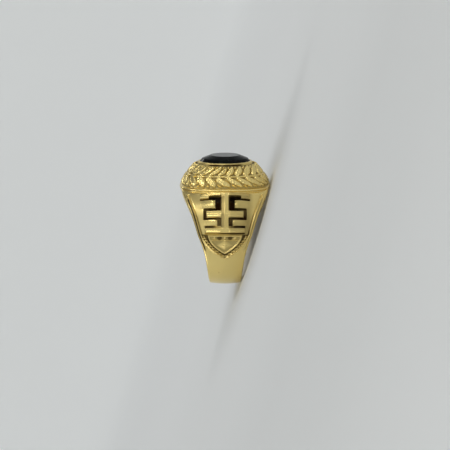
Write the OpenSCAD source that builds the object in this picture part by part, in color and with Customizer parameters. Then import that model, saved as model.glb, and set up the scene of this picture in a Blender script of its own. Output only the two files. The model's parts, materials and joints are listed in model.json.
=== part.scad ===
// A gold signet-style ring with an oval black stone, lying on its side.
// The ring is drawn upright first: x runs across the finger through the two
// shoulders, y runs along the finger and z rises through the middle of the head.
// Angles on the ring start at the head and pass over the +x shoulder.

/* [Finger] */
// Inside diameter of the finger hole
bore_d = 19; // [18:0.1:20]
// Metal thickness at the back of the finger
shank_t = 1.7; // [1.5:0.1:2.2]
// Width of the shank at the back of the finger
shank_w = 6.5; // [5.5:0.1:7]

/* [Head] */
// Length of the head along the finger
head_l = 18.9; // [18:0.1:20]
// Width of the head across the finger
head_w = 15.9; // [15:0.1:16.4]
// Height of the bezel lip above the middle of the finger hole
lip_z = 14.85; // [14.4:0.05:15.4]
// Thickness of the bezel lip around the stone
lip_t = 0.5; // [0.4:0.05:0.7]

/* [Stone] */
// Length of the stone along the finger
stone_l = 10.5; // [9.5:0.1:11]
// Width of the stone across the finger
stone_w = 8.5; // [7.5:0.1:9]
// Length of the flat table
table_l = 6.1; // [5:0.1:7]
// Width of the flat table
table_w = 5.7; // [4:0.1:6]
// Height of the table above the bezel lip
crown_h = 1.2; // [0.8:0.1:1.6]
// Gap between the stone and its seat
seat_gap = 0.05; // [0.04:0.01:0.1]

/* [Relief] */
// Number of leaf pairs in the frieze around the head
leaf_count = 24; // [16:1:26]
// Height of a leaf's middle rib above the frieze
leaf_h = 0.4; // [0.2:0.05:0.5]
// Depth of the grooves in the shoulder panels
groove_t = 0.5; // [0.3:0.05:0.7]
// Height of the rims along the shoulders
rim_h = 0.18; // [0.1:0.02:0.3]

/* [Hidden] */
gold = "#c8a951";
onyx = "#16181a";

bore_r = bore_d / 2;
back_r = bore_r + shank_t;

// Section of the shank and shoulders
edge_r = 0.4;        // corner between the side face and the outer face
bore_chamfer = 0.3;  // at the edge of the finger hole
bury = 0.8;          // how far a solid reaches into the metal that carries it
past = 0.5;          // how far a cutter stands clear of the surface

// Each row is an angle from the head, the share of the way from the shank's width to
// the head's length, the metal added to the shank's thickness, and how far the outer
// face falls from its middle to its corners.
angle_col = 0;
widening_col = 1;
added_col = 2;
fall_col = 3;
shoulder_rows = [
    [0, 0.95, 1.25, 1.6],
    [20, 0.94, 1.25, 1.6],
    [31, 0.90, 1.20, 1.6],
    [37, 0.855, 1.20, 1.5],
    [51, 0.72, 1.00, 1.1],
    [63, 0.58, 0.75, 0.8],
    [75, 0.47, 0.50, 0.6],
    [86, 0.37, 0.30, 0.45],
    [95, 0.26, 0.20, 0.38],
    [102, 0.195, 0.12, 0.34],
    [109, 0.145, 0.06, 0.3],
    [118, 0.105, 0.02, 0.28],
    [134, 0.056, 0, 0.28],
    [158, 0.012, 0, 0.28],
    [180, 0, 0, 0.28],
];

// Levels of the head
frieze_z = 10.2;     // foot of the frieze
lip_h = 0.5;
frieze_top = lip_z - lip_h;
platform_z = 9.65;   // flat top of the shoulders, inside the head
girdle_power = 3.2;  // plan of the head: 2 is an ellipse, more is squarer
lip_power = 2;
dome_power = 1.3;    // roundness of the frieze from its foot to its top
frieze_inset = [0.72, 0.5];    // of the frieze's foot inside the head
lip_foot_out = [0.28, 0.32];   // of the frieze's top outside the lip

// The border between the shoulders and the frieze. Each row is a level and how far the
// outline lies inside the head's half width and half length there.
border_rows = [
    [8.25, 1.4, 1.5],
    [9.35, 0.05, 0.07],
    [9.65, 0, 0],
    [9.95, 0.18, 0.07],
    [10.05, 0.6, 0.42],
];
border_edge = 1;     // row on which the head rests

// The bezel lip. Each row is a level below its top and how far the outline lies outside
// the lip's wall, across and along the finger.
lip_rows = [
    [0.44, 0.2, 0.25],
    [0.12, 0, 0],
    [0, -0.15, -0.15],
];

// Frieze: a stem runs round it half way up, with pairs of leaves that lean along it and
// berries between their tips. Levels are shares of the frieze's height.
leaf_w = 1.32;
leaf_lean = 2.1;     // run of a leaf along the frieze, from the stem to its tip
leaf_ends = [0.05, 0.97];      // of a leaf, as shares of the way out from the stem
leaf_least = 0.3;    // least half width, as a share of the widest
stem_share = 0.75;   // height of the stem against the leaves
berry_h = 0.35;
berry_out = 0.84;    // place of a berry, as a share of the way out from the stem
frieze_shares = [0, 0.08, 0.2, 0.33, 0.45, 0.5, 0.55, 0.67, 0.8, 0.92, 1];

// Cross panel on each shoulder. Each row is a band of it: the angles between which it
// lies, the half width of the bar in its middle, the level of that bar in groove
// depths, and the far side of the groove beside the bar.
from_col = 0;
to_col = 1;
bar_col = 2;
level_col = 3;
groove_col = 4;
band_rows = [
    [41.0, 44.1, 4.80, 0.35, 4.8],
    [44.5, 46.5, 0.80, 0, 3.3],
    [46.9, 48.4, 0.80, 0, 5.1],
    [48.8, 57.2, 0.80, 0, 1.95],
    [57.6, 59.4, 0.80, 0, 4.4],
    [59.8, 66.6, 3.86, 0, 4.4],
    [67.0, 68.6, 0.80, 0, 4.4],
    [69.0, 75.0, 0.80, 0, 1.5],
    [75.4, 76.8, 0.80, 0, 4.1],
    [77.2, 82.2, 4.10, 0.2, 4.1],
    [82.5, 83.5, 0.80, -1, 4.1],
];
arm_a = 63.2;        // middle of the cross arms
post_w = 1.6;        // width of the cross's post

// The pierced window beside the post. Each row is an angle and the window's far side.
window_rows = [
    [44.9, 3.22],
    [48.4, 3.22],
    [48.4, 1.87],
    [57.6, 1.87],
    [57.6, 3.22],
    [59.1, 3.22],
];
window_a = 52;       // direction in which it is cut
window_reach = 4;    // how far the cutter reaches outside the finger hole
ridge_h = 0.22;      // height of the ridge along the cross
wall_y = 0.08;       // slope of a groove's walls
rim_w = 0.45;
rim_inset = 0.35;    // of the rim from the shoulder's edge
step_y = 0.03;       // least distance between two columns of the skin
plain_shares = [0, 0.1, 0.2, 0.3, 0.4, 0.5, 0.6, 0.7, 0.78];    // columns where there is no relief

// Shield under the cross, inside the pointed arch where the rims meet. Each row is an
// angle and a half width.
field_t = 0.3;       // depth of the ground round the shield
outline_h = 0.12;    // height of the shield's outline
boss_h = 0.35;       // height of the lozenge in the middle of the shield
boss_a = 94;
shield_a = 84.4;
field_a = 86;
arch_tip_a = 110.3;
arch_rows = [[84, 5.3], [88, 4.95], [93.5, 4.15], [99, 3.2], [104, 2.1], [107.5, 1.2], [110.3, 0.3]];
arch_inner_rows = [[84, 4.75], [88, 4.4], [93.5, 3.5], [99, 2.46], [104, 1.28], [106.4, 0.4]];
shield_rows = [[84.4, 3.6], [90, 3.3], [95, 2.65], [99, 1.85], [102.5, 0.95], [105, 0.15]];
shield_inner_rows = [[86, 3.1], [90, 2.8], [95, 2.1], [99, 1.2], [102.3, 0.1]];

// Angles of the sections that carry the skin of the shank and shoulders
head_stations = [0, 10, 20, 28, 34, 38.5];
shield_stations = [83.9, 84.4, 85.8, 86.2, 88, 90.5, 94, 97, 99, 101, 102.3, 103.6, 105, 106.4, 107.2, 110.3];
shank_stations = [115, 122, 130, 140, 150, 160, 170, 180];
slack = 0.05;        // for comparing angles
long_band = 3;       // a band over this many degrees gets a section in its middle

// Stone
stone_sides = 24;
girdle_top = lip_z - 0.05;
girdle_low = girdle_top - 0.5;
break_l = 9.5;       // where the crown turns steeper
break_w = 7.7;
break_drop = 0.65;   // below the table
pavilion_l = 8;
pavilion_w = 6.4;
pavilion_h = 1.1;
culet_l = 2.4;
culet_w = 1.8;
culet_h = 2.1;

// Open back under the stone
cavity_power = 2.4;
cavity_rows = [      // width, length and level, from the finger to the stone's ledge
    [8.0, 14.4, 7],
    [8.4, 14.4, 9.4],
    [11.2, 14.2, 10.8],
    [6.3, 7.8, 12.6],
];

// Rest pose: the ring lies on the edge of its head's border and the side of its shank.
head_edge = [head_l / 2 - border_rows[border_edge][2], border_rows[border_edge][0]];
shank_edge = [shank_w / 2, fall(180) + edge_r - back_r];
tilt = atan((head_edge[0] - shank_edge[0]) / (head_edge[1] - shank_edge[1]));
rest_z = head_edge[0] * cos(tilt) - head_edge[1] * sin(tilt);
table_z = lip_z + crown_h;
reach_head = table_z * cos(tilt) + table_l / 2 * sin(tilt);
reach_back = max([for (p = half_section(180)) p[0] * cos(tilt) + p[1] * sin(tilt)]);
middle_x = (reach_head - reach_back) / 2;

// Column c of a table of rows, read at angle a
function column(rows, a, c) = lookup(a, [for (r = rows) [r[angle_col], r[c]]]);
function folded(a) = a > 180 ? 360 - a : a;
function half_w(a) = shank_w / 2 + column(shoulder_rows, folded(a), widening_col) * (head_l - shank_w) / 2;
function metal_r(a) = back_r + column(shoulder_rows, folded(a), added_col);
function fall(a) = column(shoulder_rows, folded(a), fall_col);
function under_platform(a, r) = cos(a) > 0 ? min(r, platform_z / cos(a)) : r;
function on_ring(a, r, y) = [r * sin(a), y, r * cos(a)];

// Radius of the outer face at angle a and distance y from its middle line
function face_r(a, y) = metal_r(a) - fall(a) * pow(y / half_w(a), 2);

// Relief of the outer face at angle a, as distances from the middle line and heights
function band_at(a) = [for (b = band_rows) if (a > b[from_col] - slack && a < b[to_col] + slack) b][0];
function rim_out(a) = min(half_w(a) - rim_inset, a < 84 ? half_w(a) : lookup(a, arch_rows));
function cross_relief(a) = let (
    b = band_at(a),
    depth = b[groove_col] > b[bar_col] ? groove_t : 0,
    top = b[level_col] * groove_t,
    arm = b[bar_col] > 2 && depth > 0,
    ridge = arm ? (abs(a - arm_a) < 1 ? ridge_h : 0) : (depth > 0 && top == 0 ? ridge_h : 0),
    rim = rim_out(a)
) [
    [0, top + ridge],
    [b[bar_col], top + (arm ? ridge : 0)],
    [b[bar_col] + wall_y, -depth],
    [max(b[groove_col], b[bar_col] + 2 * wall_y), -depth],
    [max(b[groove_col], b[bar_col] + 2 * wall_y) + wall_y, 0],
    [rim - rim_w - 3 * wall_y, 0],
    [rim - rim_w - 1.5 * wall_y, -field_t / 2],
    [rim - rim_w, rim_h],
    [rim, rim_h],
];
function end_of(rows) = rows[len(rows) - 1][0];
function shield_relief(a) = let (
    in_shield = a > shield_a - slack && a < end_of(shield_rows) + slack,
    in_field = a > field_a - slack && a < end_of(shield_inner_rows) + slack,
    in_arch = a < end_of(arch_inner_rows) + slack,
    ground = in_arch ? -field_t : rim_h,
    outline = in_shield ? outline_h : ground,
    boss = abs(a - boss_a) < 1 ? boss_h : 0,
    inner = in_field ? lookup(a, shield_inner_rows) : step_y,
    outer = in_shield ? lookup(a, shield_rows) : 3 * step_y
) [
    [0, in_field ? boss : outline],
    [max(step_y, inner - wall_y), in_field ? 0 : outline],
    [inner + step_y, outline],
    [max(outer, inner + 2 * step_y), outline],
    [max(outer, inner + 2 * step_y) + wall_y, ground],
    [max(lookup(a, arch_inner_rows), outer + 2 * wall_y), ground],
    [max(lookup(a, arch_inner_rows), outer + 2 * wall_y) + wall_y, rim_h],
    [rim_out(a) + step_y - wall_y, rim_h],
    [rim_out(a) + step_y, rim_h],
];
// Keeps the columns of the skin in order, a little apart
function in_order(face) = [
    for (i = 0, y = 0; i < len(face); i = i + 1, y = i < len(face) ? max(face[i][0], y + step_y) : y)
        [y, face[i][1]]
];
function relief(a) =
    a < 40 || a > arch_tip_a + 1 ? [for (share = plain_shares) [share * half_w(a), 0]]
    : in_order(a < 83.7 ? cross_relief(a) : shield_relief(a));

// Half of the section, from the finger to the middle of the outer face
function half_section(a) = let (
    w = half_w(a),
    side_r = metal_r(a) - fall(a),
    edge_y = w - 0.3 * edge_r,
    face = relief(a),
    outside = face[len(face) - 1][0] + wall_y
) [
    [bore_r - bury, w - bury - bore_chamfer],
    [bore_r + bore_chamfer, w],
    [side_r - edge_r, w],
    [side_r - 0.3 * edge_r, edge_y],
    [face_r(a, (outside + edge_y) / 2), (outside + edge_y) / 2],
    [face_r(a, outside), outside],
    for (i = [len(face) - 1:-1:0]) [face_r(a, face[i][0]) + face[i][1], face[i][0]],
];
function section(a) = let (half = half_section(folded(a)), n = len(half)) [
    for (i = [0:2 * n - 2])
        let (p = half[i < n ? i : 2 * n - 2 - i]) on_ring(a, under_platform(a, p[0]), i < n ? p[1] : -p[1])
];
half_stations = concat(
    head_stations,
    [for (b = band_rows) each b[to_col] - b[from_col] > long_band
        ? [b[from_col], (b[from_col] + b[to_col]) / 2, b[to_col]]
        : [b[from_col], b[to_col]]],
    shield_stations,
    shank_stations
);
stations = concat(half_stations, [for (i = [len(half_stations) - 2:-1:1]) 360 - half_stations[i]]);

// Plan of the head: a rounded oval of half width hx and half length hy
function signed_pow(v, p) = sign(v) * pow(abs(v), p);
function oval_point(hx, hy, power, t) =
    [hx * signed_pow(cos(t), 2 / power), hy * signed_pow(sin(t), 2 / power)];

// The frieze runs in a low dome from the border to the lip.
frieze_foot = [head_w, head_l] / 2 - frieze_inset;
lip_foot = [stone_w, stone_l] / 2 + [lip_t, lip_t] + lip_foot_out;
function rise(z) = min(1, max(0, (z - frieze_z) / (frieze_top - frieze_z)));
function frieze_size(z) = lip_foot + (frieze_foot - lip_foot) * (1 - pow(rise(z), dome_power));
function power_at(z) = girdle_power + (lip_power - girdle_power) * rise(z);
function frieze_point(t, z) = let (s = frieze_size(z), p = oval_point(s[0], s[1], power_at(z), t))
    [p[0], p[1], z];
function unit(v) = v / norm(v);
function frieze_normal(t, z) = unit(cross(
    frieze_point(t + 1, z) - frieze_point(t - 1, z),
    frieze_point(t, z + 0.1) - frieze_point(t, z - 0.1)
));

// Each row is a level and the half width and half length of the head there.
head_rows = concat(
    [for (b = border_rows) [b[0], head_w / 2 - b[1], head_l / 2 - b[2]]],
    [for (f = frieze_shares) let (z = frieze_z + (frieze_top - frieze_z) * f) [z, each frieze_size(z)]],
    [for (b = lip_rows) [lip_z - b[0], stone_w / 2 + lip_t + b[1], stone_l / 2 + lip_t + b[2]]]
);

// Even spacing round the middle of the frieze: run of the outline against its parameter
walk_z = (frieze_z + frieze_top) / 2;
walk_steps = 120;
function walk_point(i) = frieze_point(360 * i / walk_steps, walk_z);
outline_run = [
    for (i = 0, s = 0; i <= walk_steps; s = s + norm(walk_point(i + 1) - walk_point(i)), i = i + 1)
        [s, 360 * i / walk_steps]
];
frieze_round = outline_run[walk_steps][0];
function turn_at(share) = lookup((share - floor(share)) * frieze_round, outline_run) + 360 * floor(share);

// A solid through rings of points that go counterclockwise about its course
module skin(rings, closed = false) {
    n = len(rings);
    m = len(rings[0]);
    spans = closed ? n : n - 1;
    sides = [
        for (i = [0:spans - 1], j = [0:m - 1])
            let (u = (i + 1) % n, v = (j + 1) % m)
                each [[i * m + j, u * m + j, u * m + v], [i * m + j, u * m + v, i * m + v]]
    ];
    caps = closed ? [] : [[for (j = [0:m - 1]) j], [for (j = [m - 1:-1:0]) (n - 1) * m + j]];
    polyhedron([for (r = rings) each r], concat(sides, caps), convexity = 10);
}

// The pierced window on the +y side of the cross, cut square through the shoulder
module window() {
    near = post_w / 2 + 2 * wall_y;
    run = [for (r = window_rows) metal_r(r[0]) * sin(r[0] - window_a)];
    last = len(window_rows) - 1;
    rotate([0, window_a, 0])
        translate([0, 0, bore_r - 2 * bury])
            linear_extrude(window_reach + 2 * bury)
                polygon([
                    [run[0], near],
                    for (i = [0:last]) [run[i], window_rows[i][1]],
                    [run[last], near],
                ]);
}

// The head's skin: four columns a leaf run up through every level, at the leaf's two
// edges, its middle rib and the valley beside it, where the berries are.
function way_out(s) = abs(2 * s - 1);
function along_leaf(out) = (out - leaf_ends[0]) / (leaf_ends[1] - leaf_ends[0]);
function leaf_share(out) = let (u = min(1, max(0, along_leaf(out)))) max(leaf_least, sin(180 * pow(u, 0.8)));
function stem_lift(s) = way_out(s) < slack / 2 ? stem_share * leaf_h : 0;
function leaf_lift(s) = let (out = way_out(s), u = along_leaf(out))
    u <= 0 || u >= 1 ? stem_lift(s) : leaf_h * leaf_share(out);
function berry_lift(s) = abs(way_out(s) - berry_out) < slack / 2 ? berry_h : stem_lift(s);
function per_mm(t) = 1 / norm(frieze_point(t + 0.5, walk_z) - frieze_point(t - 0.5, walk_z));
function column_points(k, s) = let (
    shift = leaf_lean * way_out(s) / frieze_round,
    t = turn_at((k + 0.25) / leaf_count + shift),
    e = leaf_w / 2 * leaf_share(way_out(s)) * per_mm(t),
    valley = turn_at((k + 0.75) / leaf_count + shift)
) [[t - e, stem_lift(s)], [t, leaf_lift(s)], [t + e, stem_lift(s)], [valley, berry_lift(s)]];

module head_form() {
    skin([
        for (r = head_rows) [
            for (k = [0:leaf_count - 1], c = column_points(k, rise(r[0])))
                let (p = oval_point(r[1], r[2], power_at(r[0]), c[0]))
                    [p[0], p[1], r[0]] + (c[1] > 0 ? c[1] * frieze_normal(c[0], r[0]) : [0, 0, 0])
        ]
    ]);
}

// An oval of width w and length l at level z
function oval_ring(w, l, power, z) = [
    for (j = [0:stone_sides - 1])
        [each oval_point(w / 2, l / 2, power, 360 * (j + 0.5) / stone_sides), z]
];
module gem() {
    skin([
        oval_ring(culet_w, culet_l, 2, girdle_low - culet_h),
        oval_ring(pavilion_w, pavilion_l, 2, girdle_low - pavilion_h),
        oval_ring(stone_w, stone_l, 2, girdle_low),
        oval_ring(stone_w, stone_l, 2, girdle_top),
        oval_ring(break_w, break_l, 2, table_z - break_drop),
        oval_ring(table_w, table_l, 2, table_z),
    ]);
}

// The seat takes the stone from above, over an open back that widens inside the head.
module stone_seat() {
    room = 2 * seat_gap;
    skin(concat(
        [for (c = cavity_rows) oval_ring(c[0], c[1], cavity_power, c[2])],
        [
            oval_ring(pavilion_w + room, pavilion_l + room, 2, girdle_low - pavilion_h - seat_gap),
            oval_ring(stone_w + room, stone_l + room, 2, girdle_low - seat_gap),
            oval_ring(stone_w + room, stone_l + room, 2, lip_z + past),
        ]
    ));
}

// Everything of the casting but its finger hole, brought to its exact length along the finger
module casting() {
    resize([0, head_l, 0]) difference() {
        union() {
            skin([for (a = stations) section(a)], closed = true);
            head_form();
        }
        for (s = [0, 1], t = [0, 1]) mirror([s, 0, 0]) mirror([0, t, 0]) window();
        stone_seat();
    }
}

// Lays the upright ring on its side, with the head towards +x
module lying() {
    translate([-middle_x, 0, rest_z])
        multmatrix([
            [0, sin(tilt), cos(tilt), 0],
            [-1, 0, 0, 0],
            [0, -cos(tilt), sin(tilt), 0],
            [0, 0, 0, 1],
        ])
            children();
}

module ring_body() {
    color(gold) lying() difference() {
        casting();
        rotate([90, 0, 0]) cylinder(h = head_l + 2, r = bore_r, center = true, $fn = 96);
    }
}

module stone() {
    color(onyx) lying() gem();
}

ring_body();
stone();
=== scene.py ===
"""Looks of a gold finger ring with an oval black stone, lying on its side.

Shapes are worked out in millimetres in the ring's own axes: x runs across the finger
through the two shoulders, y along the finger, and z rises through the stone. Angles on
the ring start at the stone and are in degrees. Each finished mesh is then laid in the
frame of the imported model, in metres.
"""

import json
import math

import bmesh
import bpy
import numpy as np
from mathutils import Matrix, Vector


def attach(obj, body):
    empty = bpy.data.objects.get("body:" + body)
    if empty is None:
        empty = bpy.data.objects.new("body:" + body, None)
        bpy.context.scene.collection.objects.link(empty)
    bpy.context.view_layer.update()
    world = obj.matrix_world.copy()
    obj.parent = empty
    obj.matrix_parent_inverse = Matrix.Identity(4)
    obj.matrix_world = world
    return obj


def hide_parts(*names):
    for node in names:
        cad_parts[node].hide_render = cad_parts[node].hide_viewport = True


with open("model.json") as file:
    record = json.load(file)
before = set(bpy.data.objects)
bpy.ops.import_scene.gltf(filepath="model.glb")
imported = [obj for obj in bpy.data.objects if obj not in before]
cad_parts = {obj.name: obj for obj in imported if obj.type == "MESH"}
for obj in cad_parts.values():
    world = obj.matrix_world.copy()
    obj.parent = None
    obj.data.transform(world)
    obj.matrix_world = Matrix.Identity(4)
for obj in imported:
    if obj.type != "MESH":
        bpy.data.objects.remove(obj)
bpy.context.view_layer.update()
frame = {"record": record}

bl_info = {
    "name": "Onyx Ring",
    "version": (1, 0, 0),
    "blender": (4, 5, 0),
    "location": "View3D > Sidebar > Ring",
    "description": "Builds a gold ring with an oval black stone and a small studio round it",
    "category": "Add Mesh",
}

FINGER_HOLE = frame["record"]["mounts"][0]
MM = 0.001
DEGREE_MM = 0.2  # length of one degree on the outside of the shoulders

# Shoulders: angle, share of the way from the shank's width to the head's length, metal
# added to the shank, fall of the outer face from its middle to its edges
ANGLE, WIDENING, ADDED, FALL = range(4)
SHOULDER_ROWS = np.array([
    [0, 0.95, 1.25, 1.6],
    [20, 0.94, 1.25, 1.6],
    [31, 0.90, 1.20, 1.6],
    [37, 0.855, 1.20, 1.5],
    [51, 0.72, 1.00, 1.1],
    [63, 0.58, 0.75, 0.8],
    [75, 0.47, 0.50, 0.6],
    [86, 0.37, 0.30, 0.45],
    [95, 0.26, 0.20, 0.38],
    [102, 0.195, 0.12, 0.34],
    [109, 0.145, 0.06, 0.3],
    [118, 0.105, 0.02, 0.28],
    [134, 0.056, 0, 0.28],
    [158, 0.012, 0, 0.28],
    [180, 0, 0, 0.28],
])
EDGE_R = 0.33  # round of the shank's outer edges
BORE_EDGE = 0.3  # round of the finger hole's edges
PLATFORM_Z = 9.65  # level of the flat top that carries the head
# Metal left inside the finger hole until it is bored, and how much narrower it is there
BURY, BURY_INSET = 0.8, 0.2

# Sections of the shank: first and last angle, widest gap
SECTION_ROWS = [
    [0, 30, 3.0],
    [30, 38, 1.0],
    [38, 112, 0.55],
    [112, 180, 3.0],
]
# Points across a section: widest gap, reach on the panel, reach up to which they keep
# their place, least reach for the others, room for the rim, strip of close points there
CLOSE, PANEL_Y, STRAIGHT_Y, SQUEEZED_Y, RIM_ROOM, RIM_STRIP = 0.1, 5.2, 4.4, 4.5, 0.75, 0.7

# Relief of the shoulders: width of its walls, round of its corners, and its angles. A
# range holds where something starts, where it ends and how wide its two fades are
WALL, RIDGE_WALL, CORNER_R = 0.16, 0.1, 0.12
PANEL_FROM, FIELD_FROM, ARCH_FROM, ARCH_TO = 40, 83.9, 84, 112
RIM_A = (38.5, 115, 0.4, 0.4)

# Grooves of the panel: first and last angle, near and far side
GROOVE_ROWS = [
    [44.3, 46.9, 0.8, 3.3],
    [46.6, 48.6, 0.8, 5.1],
    [47.5, 58.5, 0.8, 1.95],
    [57.4, 59.6, 0.8, 4.4],
    [58.5, 67.8, 3.86, 4.4],
    [66.8, 68.8, 0.8, 4.4],
    [67.8, 76.0, 0.8, 1.5],
    [75.2, 77.0, 0.8, 4.1],
    [82.4, 83.3, -0.5, 4.1],
]
# Worn patches where the grooves are shallow: first and last angle, far side, share lost
WORN_ROWS = [
    [74.8, 78, 2.2, 0.7],
    [80, 90, 9, 0.5],
]
# Stubs with a round top and tip: first and last angle, near and far side, height; the
# height fades towards the far side
STUB_ROWS = [
    [48.6, 57.4, 1.95, 5.6, 0.32],
    [68.8, 75.2, 1.5, 4.8, 0.22],
]
# Bars across the panel: first and last angle, far side, height
BAR_ROWS = [
    [40.6, 44.3, 4.9, 0.18],
    [77.1, 82.3, 4.1, 0.1],
]
# Beads along the lower edges of the bars: middle angle, far side, half width, height
BEAD_ROWS = [
    [43.3, 4.7, 0.18, 0.12],
    [65.6, 3.7, 0.2, 0.14],
    [81.2, 3.9, 0.2, 0.13],
]
# Cross with a ridge along its post and its arm
POST_A, POST_HALF = (41, 77), 0.8
ARM_A, ARM_HALF, ARM_REACH = 63.2, 0.72, 3.86
# Pierced window on one side of the post: angle and far side of its corners
WINDOW_ROWS = [
    [44.9, 3.22],
    [48.4, 3.22],
    [48.4, 1.87],
    [57.6, 1.87],
    [57.6, 3.22],
    [59.1, 3.22],
]
# Its middle angle, gap to the post, round of its corners, reach of its cutter
WINDOW_A, WINDOW_GAP, WINDOW_CORNER_R, WINDOW_REACH = 52, 0.16, 0.14, 4

# Rims, their inset from the shoulder's edge, and the furrow inside them
RIM_W, RIM_INSET = 0.45, 0.35
FURROW_DEPTH, FURROW_OFF, FURROW_HALF, FURROW_TO = 0.12, 0.36, 0.09, 86
# Outer line of the rims where they close in a pointed arch: angle, distance
ARCH_ROWS = np.array([
    [84, 5.3],
    [88, 4.95],
    [93.5, 4.15],
    [99, 3.2],
    [104, 2.1],
    [107.5, 1.2],
    [110.3, 0.3],
    [116, -1.9],
])
# Outline of the shield: angle, distance
SHIELD_ROWS = np.array([
    [84.4, 3.6],
    [90, 3.3],
    [95, 2.65],
    [99, 1.85],
    [102.5, 0.95],
    [105, 0.15],
    [110, -2],
])
SHIELD_TOP = 84.4
# Border of the shield, and the fall from it to the shield's middle
BORDER_H, BORDER_W, BORDER_FALL = 0.12, 0.38, 0.2
# Bar across the shield: angles, half length, round of its corners, inset, height
BAND_A, BAND_HALF, BAND_R, BAND_INSET, BAND_H = (89.5, 90.7), 4, 0.02, 0.4, 0.14
# Pits over it: angle, distance, half size down the shoulder and along it, depth
PIT_A, PIT_Y, PIT_S, PIT_HALF, PIT_DEPTH = 87.6, 1.1, 0.3, 0.5, 0.25
# Studs beside the pits
STUD_A, STUD_YS, STUD_R, STUD_H = 87.5, (0, 2.15), 0.3, 0.24
# Lozenge under the bar, with its half diagonals down the shoulder and along it
LOZENGE_A, LOZENGE_S, LOZENGE_Y, LOZENGE_H, LOZENGE_FOOT = 95.2, 1.05, 1.7, 0.32, 0.05
# Rope inside the arch: range, inset from the rim; swing, gap, radius and height of beads
ROPE_A, ROPE_INSET = (85, 109, 0.3, 0.3), 0.3
ROPE_SWING, ROPE_GAP, ROPE_R, ROPE_H = 0.3, 0.56, 0.34, 0.34

# Border under the frieze: level, inset from the head's half width and half length
BORDER_ROWS = np.array([
    [8.25, 1.4, 1.5],
    [9.07, 0.34, 0.38],
    [9.17, 0.17, 0.2],
    [9.25, 0.09, 0.11],
    [9.35, 0.05, 0.07],
    [9.45, 0.07, 0.08],
    [9.51, 0.14, 0.14],
    [9.55, 0.2, 0.19],
    [9.59, 0.14, 0.13],
    [9.65, 0.04, 0.03],
    [9.75, 0.02, 0.01],
    [9.85, 0.07, 0.03],
    [9.92, 0.16, 0.08],
    [9.97, 0.3, 0.2],
    [10.02, 0.5, 0.36],
    [10.07, 0.62, 0.42],
    [10.13, 0.7, 0.47],
])
# Bezel lip: level below its top, distance outside its wall across and along the finger
LIP_ROWS = np.array([
    [0.68, 0.22, 0.25],
    [0.7, 0.12, 0.14],
    [0.6, 0.04, 0.04],
    [0.42, 0.0, 0.0],
    [0.3, -0.02, -0.02],
    [0.18, -0.05, -0.05],
    [0.1, -0.1, -0.1],
    [0.04, -0.17, -0.17],
    [0.0, -0.26, -0.26],
    [0.0, -0.36, -0.36],
])
# Ground of the frieze: lowest level, the lip's height over it, its foot's inset from the
# head, its top's distance from the lip, how square and how domed it is, its points
FRIEZE_Z, LIP_H = 10.2, 0.5
FRIEZE_INSET, LIP_FOOT_OUT = np.array([0.72, 0.5]), np.array([0.28, 0.32])
GIRDLE_POWER, LIP_POWER, DOME_POWER = 3.2, 2, 1.3
HEAD_POINTS, FRIEZE_RINGS = 420, 39

# Leaves of the frieze: length of its slope, lean of their tips, start and length as a
# share of the way out, half width, powers that shape their outline
FRIEZE_MM, LEAF_LEAN, LEAF_FROM, LEAF_SPAN = 5, 2.1, 0.05, 0.92
LEAF_HALF, LEAF_LEAST, LEAF_WIDEST, LEAF_ROUND = 0.7, 0.02, 0.8, 0.7
# Edge of a leaf and of its veins: place inside the outline, width of the wall
LEAF_EDGE, LEAF_WALL, VEIN_EDGE, VEIN_WALL = 0.04, 0.16, 0.12, 0.15
# Relief on a leaf: its fall to the edge, its fold and its veins
LEAF_DOME, FOLD_DEPTH, FOLD_HALF = 0.35, 0.35, 0.09
VEIN_DEPTH, VEIN_COUNT, VEIN_SLANT, VEIN_FROM = 0.08, 5.5, 0.55, 0.1
# Stem between the leaves: share of a leaf's height, half width
STEM_H, STEM_HALF = 0.75, 0.24
# Berries between the leaves: share of the way out, place in the pitch, radius, lift
BERRY_OUT, BERRY_PLACE, BERRY_R, BERRY_LIFT = 0.84, 0.75, 0.3, 0.1

# Stone: width, length, level against the girdle's lower edge; then the break of its
# crown, with its level below the table
PAVILION_ROWS = [[1.8, 2.4, -2.1], [6.4, 8.0, -1.1]]
CROWN_BREAK = [7.7, 9.5, 0.65]
TABLE_FLAT = 0.9  # share of the table inside its rounded edge
STONE_ROUND = 0.05
STONE_TURNS = (np.arange(144) + 0.5) * 2.5  # angles of the points round stone and seat
SEAT_GAP = 0.05
# Open back under the stone: width, length, level; and how square it is
CAVITY_ROWS = [[8.0, 14.4, 7], [8.4, 14.4, 9.4], [11.2, 14.2, 10.8], [6.3, 7.8, 12.6]]
CAVITY_POWER = 2.4

# Darkening of the gold, from 0 on bare gold to 1: patina in the hollows and painted shade.
# On the shoulders: nothing before this angle, range inside the rims
SHOULDER_FROM, SHOULDER_DARKENING_A = 36, (PANEL_FROM, 111, 0.3, 0.6)
# On the panel, patina in the grooves and painted shade: all over, share of the grooves'
# depth at which it is full, and bands of painted shade, on the panel's +y half and on the
# post's -y slope, with their strength and their ranges along the finger and down the shoulder
PANEL_PATINA_SHADE, GROOVE_FULL = 0.17, 1.1
SHADE_BANDS = [
    [0.45, (0.9, 5.4, 0.9, 1.4), (0, 180, 1, 1)],
    [0.6, (-POST_HALF, -0.1, 0.1, 0.1), (44, POST_A[1], 1, 0.3)],
]
# In the line under the low bar, painted shade, twice the grooves' darkening towards +y: first
# angle, loss towards -y, where that starts
LINE_FROM, LINE_LOSS, LINE_LOSS_Y = 79, 1.5, -0.9
# In the arch, patina and painted shade: all over, share of the field's depth at which it is
# full, fade at the rim
ARCH_PATINA_SHADE, ARCH_FULL, ARCH_FADE = 0.4, 1.7, 0.15
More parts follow.
